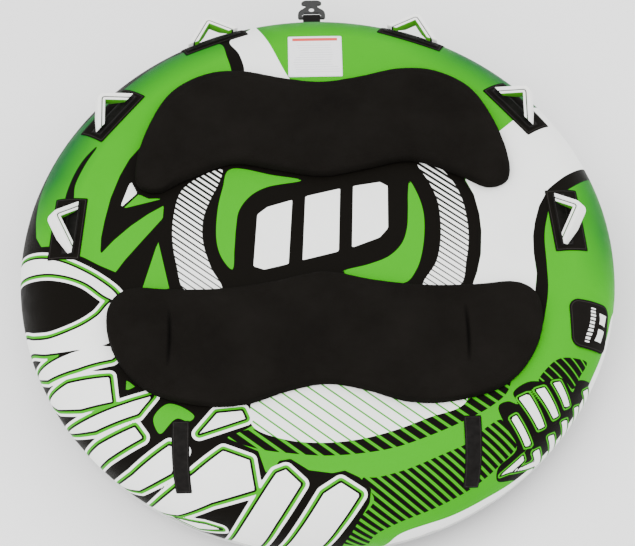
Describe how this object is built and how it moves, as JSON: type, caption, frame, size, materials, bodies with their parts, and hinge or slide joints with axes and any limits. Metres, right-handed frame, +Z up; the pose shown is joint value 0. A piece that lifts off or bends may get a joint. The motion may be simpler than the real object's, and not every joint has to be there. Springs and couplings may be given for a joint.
{
  "type": "towable tube",
  "caption": "Round towable deck tube: air ring in a printed sewn cover, shaped riding pads, foam grip handles, flapped valve, rear zipper and front tow strap with a hook.",
  "frame": {"origin": "centre of the flat underside", "axes": "+Z up through the deck, +Y towards the tow rope, +X to the right of a rider who faces the rope"},
  "size_m": [1.8198, 1.9564, 0.415],
  "materials": {
    "printed_cover": "printed coated nylon in green, black and white",
    "base_cover": "plain black coated nylon",
    "vinyl": "black welded vinyl",
    "pad_cover": "black stretch neoprene",
    "pad_core": "grey closed-cell foam",
    "handle_guard": "black neoprene",
    "flap_cover": "black neoprene with plain white bars",
    "white_foam": "matt white closed-cell foam",
    "green_foam": "matt green closed-cell foam",
    "label": "white sewn label with plain bars",
    "brass": "brushed",
    "aluminium": "satin",
    "black_plastic": "moulded",
    "zipper_tape": "woven black tape",
    "webbing": "woven black webbing"
  },
  "bodies": {
    "tube": {"air_bladder": "vinyl", "care_label": "label", "cover_bottom": "base_cover", "cover_top": "printed_cover", "drain_grommet_1": "brass", "drain_grommet_2": "brass", "drain_grommet_3": "brass", "drain_grommet_4": "brass", "flap_hem": "flap_cover", "flap_hook_tape": "webbing", "front_left_base_web": "webbing", "front_left_guard": "handle_guard", "front_pad_core": "pad_core", "front_pad_skin": "pad_cover", "front_right_base_web": "webbing", "front_right_guard": "handle_guard", "mid_left_base_web": "webbing", "mid_left_guard": "handle_guard", "mid_right_base_web": "webbing", "mid_right_guard": "handle_guard", "rear_pad_core": "pad_core", "rear_pad_skin": "pad_cover", "rear_strap_left": "webbing", "rear_strap_right": "webbing", "seam_welt": "webbing", "side_left_base_web": "webbing", "side_left_guard": "handle_guard", "side_right_base_web": "webbing", "side_right_guard": "handle_guard", "tow_web_lower": "webbing", "tow_web_upper": "webbing", "valve_base": "black_plastic", "zipper_tape": "zipper_tape"},
    "valve_flap": {"valve_flap": "flap_cover", "flap_loop_tape": "webbing"},
    "valve_seal": {"valve_cap_seal": "vinyl"},
    "valve_cap": {"valve_cap": "black_plastic"},
    "zipper_slider": {"zipper_slider": "black_plastic"},
    "zipper_pull": {"zipper_pull": "black_plastic"},
    "tow_strap": {"tow_webbing": "webbing"},
    "tow_hook": {"tow_hook": "aluminium"},
    "side_right_handle": {"side_right_foam": "white_foam", "side_right_lining": "green_foam", "side_right_core_web": "webbing"},
    "side_left_handle": {"side_left_foam": "white_foam", "side_left_lining": "green_foam", "side_left_core_web": "webbing"},
    "mid_right_handle": {"mid_right_foam": "white_foam", "mid_right_lining": "green_foam", "mid_right_core_web": "webbing"},
    "mid_left_handle": {"mid_left_foam": "white_foam", "mid_left_lining": "green_foam", "mid_left_core_web": "webbing"},
    "front_right_handle": {"front_right_foam": "white_foam", "front_right_lining": "green_foam", "front_right_core_web": "webbing"},
    "front_left_handle": {"front_left_foam": "white_foam", "front_left_lining": "green_foam", "front_left_core_web": "webbing"}
  },
  "joints": [
    {"name": "side_right_tilt", "type": "hinge", "parent": "tube", "child": "side_right_handle", "pos_m": [0.73932, 0.05429, 0.35889], "axis": [0.0732, -0.9973, 0], "range_deg": [-6, 46], "stiffness_Nm_per_rad": 2},
    {"name": "side_left_tilt", "type": "hinge", "parent": "tube", "child": "side_left_handle", "pos_m": [-0.73932, 0.05429, 0.35889], "axis": [0.0732, 0.9973, 0], "range_deg": [-6, 46], "stiffness_Nm_per_rad": 2},
    {"name": "mid_right_tilt", "type": "hinge", "parent": "tube", "child": "mid_right_handle", "pos_m": [0.62759, 0.47464, 0.35154], "axis": [0.6032, -0.7976, 0], "range_deg": [-6, 46], "stiffness_Nm_per_rad": 2},
    {"name": "mid_left_tilt", "type": "hinge", "parent": "tube", "child": "mid_left_handle", "pos_m": [-0.62759, 0.47464, 0.35154], "axis": [0.6032, 0.7976, 0], "range_deg": [-6, 46], "stiffness_Nm_per_rad": 2},
    {"name": "front_right_tilt", "type": "hinge", "parent": "tube", "child": "front_right_handle", "pos_m": [0.32092, 0.78247, 0.32196], "axis": [0.9252, -0.3795, 0], "range_deg": [-6, 46], "stiffness_Nm_per_rad": 2},
    {"name": "front_left_tilt", "type": "hinge", "parent": "tube", "child": "front_left_handle", "pos_m": [-0.32092, 0.78247, 0.32196], "axis": [0.9252, 0.3795, 0], "range_deg": [-6, 46], "stiffness_Nm_per_rad": 2},
    {"name": "valve_flap_open", "type": "hinge", "parent": "tube", "child": "valve_flap", "pos_m": [0.7435, -0.2895, 0.3435], "axis": [-0.0261, -0.9902, -0.1372], "range_deg": [0, 100]},
    {"name": "valve_cap_lift", "type": "slide", "parent": "tube", "child": "valve_seal", "axis": [0.6372, -0.2269, 0.7365], "range_m": [0, 0.0025]},
    {"name": "valve_cap_spin", "type": "hinge", "parent": "valve_seal", "child": "valve_cap", "pos_m": [0.80392, -0.28627, 0.30389], "axis": [0.6372, -0.2269, 0.7365], "range_deg": [0, 360]},
    {"name": "zipper_slide", "type": "hinge", "parent": "tube", "child": "zipper_slider", "pos_m": [0, 0, 0.045], "axis": [0, 0, 1], "range_deg": [0, 63]},
    {"name": "zipper_pull_flip", "type": "hinge", "parent": "zipper_slider", "child": "zipper_pull", "pos_m": [-0.44884, -0.73244, 0.03726], "axis": [-0.8526, 0.5225, 0], "range_deg": [-34, 90]},
    {"name": "tow_strap_swing", "type": "hinge", "parent": "tube", "child": "tow_strap", "pos_m": [0, 0.9145, 0.175], "axis": [1, 0, 0], "range_deg": [-35, 35], "stiffness_Nm_per_rad": 3},
    {"name": "tow_hook_pivot", "type": "hinge", "parent": "tow_strap", "child": "tow_hook", "pos_m": [0, 0.9745, 0.175], "axis": [1, 0, 0], "range_deg": [-60, 60]}
  ],
  "couplings": [
    {"joint": "valve_cap_spin", "follows": "valve_cap_lift", "rad_per_m": 2513.3}
  ]
}
